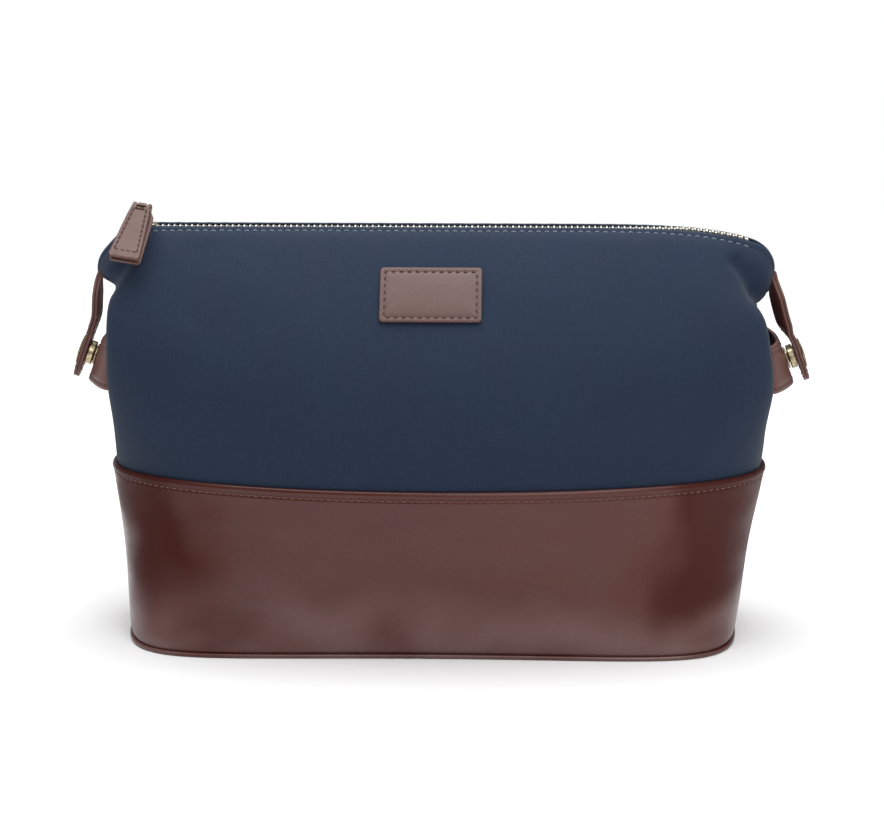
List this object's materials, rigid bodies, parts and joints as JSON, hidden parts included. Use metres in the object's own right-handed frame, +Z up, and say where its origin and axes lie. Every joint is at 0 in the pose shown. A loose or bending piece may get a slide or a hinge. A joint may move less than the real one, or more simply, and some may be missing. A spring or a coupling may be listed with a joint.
{
  "type": "shaving kit bag",
  "caption": "Zipped wash bag with a canvas upper, a smooth leather base, drooping zip ends and snapped leather side straps.",
  "frame": {"origin": "centre of the flat underside, on the surface that the bag stands on", "axes": "+X along the zip towards its open end, -Y out of the front with the patch, +Z up"},
  "size_m": [0.3056, 0.1148, 0.1798],
  "materials": {
    "canvas": "navy twill-backed cotton canvas, matt",
    "leather": "smooth red-brown leather, semi-gloss",
    "lining": "plain woven polyester lining",
    "tape": "dark navy woven zip tape",
    "brass": "antique brass, worn satin",
    "board": "fibre stiffening board"
  },
  "bodies": {
    "bag": {"leather_front": "leather", "leather_back": "leather", "bottom_panel": "leather", "base_board": "board", "canvas_front": "canvas", "canvas_back": "canvas", "lining": "lining", "side_band_left": "leather", "side_band_right": "leather", "snap_stud_left": "brass", "snap_stud_right": "brass", "snap_post_left": "brass", "snap_post_right": "brass", "zip_end_left": "brass", "zip_end_right": "brass", "zip_tape_end_left_front": "tape", "zip_tape_end_left_back": "tape", "zip_tape_end_right_front": "tape", "zip_tape_end_right_back": "tape"},
    "front_lip": {"lip_front": "canvas", "zip_teeth_front": "brass", "zip_tape_front": "tape", "leather_patch": "leather"},
    "back_lip": {"lip_back": "canvas", "zip_teeth_back": "brass", "zip_tape_back": "tape"},
    "slider": {"zip_slider": "brass"},
    "puller": {"puller_link": "brass"},
    "pull_tab": {"pull_core": "leather", "pull_front": "leather", "pull_back": "leather"},
    "left_ear": {"ear_left": "canvas"},
    "right_ear": {"ear_right": "canvas"},
    "left_strap": {"strap_left": "leather", "snap_cap_left": "brass", "snap_socket_left": "brass"},
    "right_strap": {"strap_right": "leather", "snap_cap_right": "brass", "snap_socket_right": "brass"}
  },
  "joints": [
    {"name": "front_lip_hinge", "type": "hinge", "parent": "bag", "child": "front_lip", "pos_m": [0, -0.04978, 0.121], "axis": [1, 0, 0], "range_deg": [0, 45]},
    {"name": "back_lip_hinge", "type": "hinge", "parent": "bag", "child": "back_lip", "pos_m": [0, 0.04978, 0.121], "axis": [-1, 0, 0], "range_deg": [0, 45]},
    {"name": "slider_travel", "type": "slide", "parent": "bag", "child": "slider", "axis": [1, 0, 0], "range_m": [0, 0.214]},
    {"name": "puller_swing", "type": "hinge", "parent": "slider", "child": "puller", "pos_m": [-0.1204, 0, 0.1715], "axis": [-0.9806, 0.1378, 0.1392], "range_deg": [0, 105]},
    {"name": "pull_tab_swing", "type": "hinge", "parent": "puller", "child": "pull_tab", "pos_m": [-0.12067, -0.0077, 0.17722], "axis": [-0.9806, 0.1378, 0.1392], "range_deg": [0, 110]},
    {"name": "left_ear_lift", "type": "hinge", "parent": "bag", "child": "left_ear", "pos_m": [-0.1265, 0, 0.16882], "axis": [0, 1, 0], "range_deg": [0, 35]},
    {"name": "right_ear_lift", "type": "hinge", "parent": "bag", "child": "right_ear", "pos_m": [0.1265, 0, 0.16349], "axis": [0, -1, 0], "range_deg": [0, 35]},
    {"name": "left_strap_swing", "type": "hinge", "parent": "left_ear", "child": "left_strap", "pos_m": [-0.14, 0, 0.1479], "axis": [0, 1, 0], "range_deg": [0, 100]},
    {"name": "right_strap_swing", "type": "hinge", "parent": "right_ear", "child": "right_strap", "pos_m": [0.1397, 0, 0.1463], "axis": [0, -1, 0], "range_deg": [0, 100]}
  ]
}
